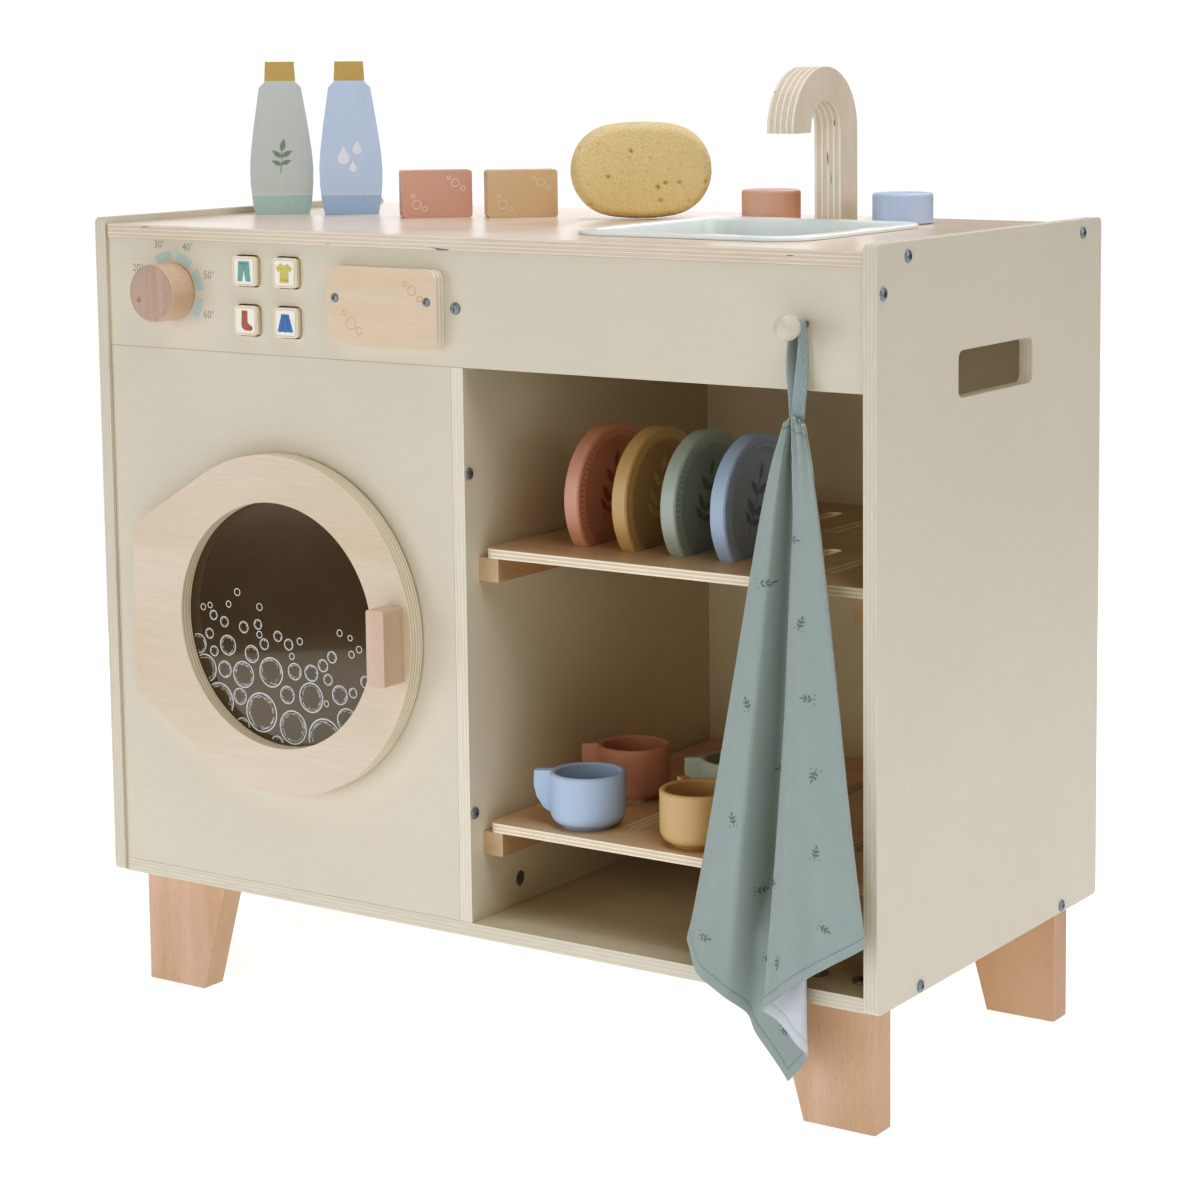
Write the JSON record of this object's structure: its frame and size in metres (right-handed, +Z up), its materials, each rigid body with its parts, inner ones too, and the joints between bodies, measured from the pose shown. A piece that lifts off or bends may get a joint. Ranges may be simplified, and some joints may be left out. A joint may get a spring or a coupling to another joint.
{
  "type": "toy washing machine",
  "caption": "Toy washing machine cabinet in plywood with a round swing door, dial, push buttons, soap drawer, sink top with swivel tap, dish shelves, hung towel and play pieces.",
  "frame": {"origin": "on the floor, under the middle of the whole unit's bounding box", "axes": "+X to the right as seen from the front, +Y from the door to the back, +Z up; the door and controls face -Y"},
  "size_m": [0.6036, 0.3258, 0.6301],
  "materials": {
    "painted_ply": "satin cream paint on birch plywood",
    "birch_ply": "clear matt lacquer, ply edges showing",
    "raw_ply": "unfinished birch plywood",
    "beech": "clear matt lacquer",
    "steel": "zinc plated",
    "spring_steel": "bright",
    "cream_paint": "satin cream paint",
    "button_paint": "satin off-white paint with printed signs",
    "tinted_acrylic": "clear gloss, brown tint",
    "sink_plastic": "satin moulded",
    "terracotta_paint": "satin paint",
    "ochre_paint": "satin paint",
    "sage_paint": "satin paint",
    "blue_paint": "satin paint",
    "sky_paint": "satin paint",
    "pink_paint": "satin paint",
    "sponge_foam": "soft foam with fine pores",
    "towel_cotton": "plain woven cotton, printed sprigs"
  },
  "bodies": {
    "cabinet": {"side_panel_left": "painted_ply", "side_panel_right": "painted_ply", "divider_panel": "painted_ply", "back_panel": "painted_ply", "bottom_board": "painted_ply", "worktop": "birch_ply", "control_panel": "painted_ply", "washer_front": "painted_ply", "shelf_upper": "birch_ply", "shelf_lower": "birch_ply", "shelf_rails": "beech", "leg_front_left": "beech", "leg_front_right": "beech", "leg_rear_left": "beech", "leg_rear_right": "beech", "leg_bolts": "steel", "cabinet_screws": "steel", "divider_fixings": "steel", "peg_ball": "cream_paint", "peg_stem": "steel", "hinge_frame_leaf": "steel", "hinge_pin": "steel", "catch_plate": "steel", "drawer_guides": "raw_ply", "button_backboard": "raw_ply", "button_springs": "spring_steel", "knob_axles": "steel"},
    "door": {"door_ring": "birch_ply", "door_window": "tinted_acrylic", "door_handle": "beech", "door_hinge_leaf": "steel", "door_screws": "steel", "door_magnet": "steel"},
    "drawer": {"drawer_front": "birch_ply", "drawer_tray": "raw_ply", "drawer_screws": "steel"},
    "dial": {"dial_knob": "beech"},
    "button_top_left": {"button_top_left": "button_paint"},
    "button_top_right": {"button_top_right": "button_paint"},
    "button_bottom_left": {"button_bottom_left": "button_paint"},
    "button_bottom_right": {"button_bottom_right": "button_paint"},
    "sink": {"sink_basin": "sink_plastic"},
    "tap": {"tap_spout": "birch_ply", "tap_dowel": "beech"},
    "knob_hot": {"tap_knob_hot": "terracotta_paint"},
    "knob_cold": {"tap_knob_cold": "sky_paint"},
    "bottle_green": {"bottle_green": "sage_paint"},
    "bottle_blue": {"bottle_blue": "blue_paint"},
    "soap_pink": {"soap_pink": "pink_paint"},
    "soap_ochre": {"soap_ochre": "ochre_paint"},
    "sponge": {"sponge": "sponge_foam"},
    "plate_terracotta": {"plate_terracotta": "terracotta_paint"},
    "plate_ochre": {"plate_ochre": "ochre_paint"},
    "plate_sage": {"plate_sage": "sage_paint"},
    "plate_blue": {"plate_blue": "blue_paint"},
    "cup_blue": {"cup_blue": "blue_paint"},
    "cup_terracotta": {"cup_terracotta": "terracotta_paint"},
    "cup_ochre": {"cup_ochre": "ochre_paint"},
    "cup_sage": {"cup_sage": "sage_paint"},
    "towel": {"towel": "towel_cotton"}
  },
  "joints": [
    {"name": "door_hinge", "type": "hinge", "parent": "cabinet", "child": "door", "pos_m": [-0.2637, -0.13025, 0.2675], "axis": [0, 0, -1], "range_deg": [0, 90]},
    {"name": "drawer_slide", "type": "slide", "parent": "cabinet", "child": "drawer", "axis": [0, -1, 0], "range_m": [0, 0.06]},
    {"name": "dial_turn", "type": "hinge", "parent": "cabinet", "child": "dial", "pos_m": [-0.2335, -0.14115, 0.4808], "axis": [0, 1, 0], "continuous": true},
    {"name": "press_top_left", "type": "slide", "parent": "cabinet", "child": "button_top_left", "axis": [0, 1, 0], "range_m": [0, 0.003], "stiffness_N_per_m": 150, "springref_m": -0.004, "deforming": ["button_springs"]},
    {"name": "press_top_right", "type": "slide", "parent": "cabinet", "child": "button_top_right", "axis": [0, 1, 0], "range_m": [0, 0.003], "stiffness_N_per_m": 150, "springref_m": -0.004, "deforming": ["button_springs"]},
    {"name": "press_bottom_left", "type": "slide", "parent": "cabinet", "child": "button_bottom_left", "axis": [0, 1, 0], "range_m": [0, 0.003], "stiffness_N_per_m": 150, "springref_m": -0.004, "deforming": ["button_springs"]},
    {"name": "press_bottom_right", "type": "slide", "parent": "cabinet", "child": "button_bottom_right", "axis": [0, 1, 0], "range_m": [0, 0.003], "stiffness_N_per_m": 150, "springref_m": -0.004, "deforming": ["button_springs"]},
    {"name": "sink_lift", "type": "slide", "parent": "cabinet", "child": "sink", "axis": [0, 0, 1], "range_m": [0, 0.05]},
    {"name": "tap_swivel", "type": "hinge", "parent": "cabinet", "child": "tap", "pos_m": [0.136, 0.10485, 0.52], "axis": [0, 0, 1], "range_deg": [-60, 60]},
    {"name": "knob_hot_turn", "type": "hinge", "parent": "cabinet", "child": "knob_hot", "pos_m": [0.086, 0.10485, 0.53], "axis": [0, 0, 1], "continuous": true},
    {"name": "knob_cold_turn", "type": "hinge", "parent": "cabinet", "child": "knob_cold", "pos_m": [0.186, 0.10485, 0.53], "axis": [0, 0, 1], "continuous": true},
    {"name": "bottle_green_lift", "type": "slide", "parent": "cabinet", "child": "bottle_green", "axis": [0, 0, 1], "range_m": [0, 0.06]},
    {"name": "bottle_blue_lift", "type": "slide", "parent": "cabinet", "child": "bottle_blue", "axis": [0, 0, 1], "range_m": [0, 0.06]},
    {"name": "soap_pink_lift", "type": "slide", "parent": "cabinet", "child": "soap_pink", "axis": [0, 0, 1], "range_m": [0, 0.06]},
    {"name": "soap_ochre_lift", "type": "slide", "parent": "cabinet", "child": "soap_ochre", "axis": [0, 0, 1], "range_m": [0, 0.06]},
    {"name": "sponge_lift", "type": "slide", "parent": "cabinet", "child": "sponge", "axis": [0, 0, 1], "range_m": [0, 0.06]},
    {"name": "plate_terracotta_lift", "type": "slide", "parent": "cabinet", "child": "plate_terracotta", "axis": [0, 0, 1], "range_m": [0, 0.03]},
    {"name": "plate_ochre_lift", "type": "slide", "parent": "cabinet", "child": "plate_ochre", "axis": [0, 0, 1], "range_m": [0, 0.03]},
    {"name": "plate_sage_lift", "type": "slide", "parent": "cabinet", "child": "plate_sage", "axis": [0, 0, 1], "range_m": [0, 0.03]},
    {"name": "plate_blue_lift", "type": "slide", "parent": "cabinet", "child": "plate_blue", "axis": [0, 0, 1], "range_m": [0, 0.03]},
    {"name": "cup_blue_lift", "type": "slide", "parent": "cabinet", "child": "cup_blue", "axis": [0, 0, 1], "range_m": [0, 0.06]},
    {"name": "cup_terracotta_lift", "type": "slide", "parent": "cabinet", "child": "cup_terracotta", "axis": [0, 0, 1], "range_m": [0, 0.06]},
    {"name": "cup_ochre_lift", "type": "slide", "parent": "cabinet", "child": "cup_ochre", "axis": [0, 0, 1], "range_m": [0, 0.06]},
    {"name": "cup_sage_lift", "type": "slide", "parent": "cabinet", "child": "cup_sage", "axis": [0, 0, 1], "range_m": [0, 0.06]},
    {"name": "towel_swing", "type": "hinge", "parent": "cabinet", "child": "towel", "pos_m": [0.252, -0.13815, 0.481], "axis": [0, 1, 0], "range_deg": [-7, 8]}
  ]
}
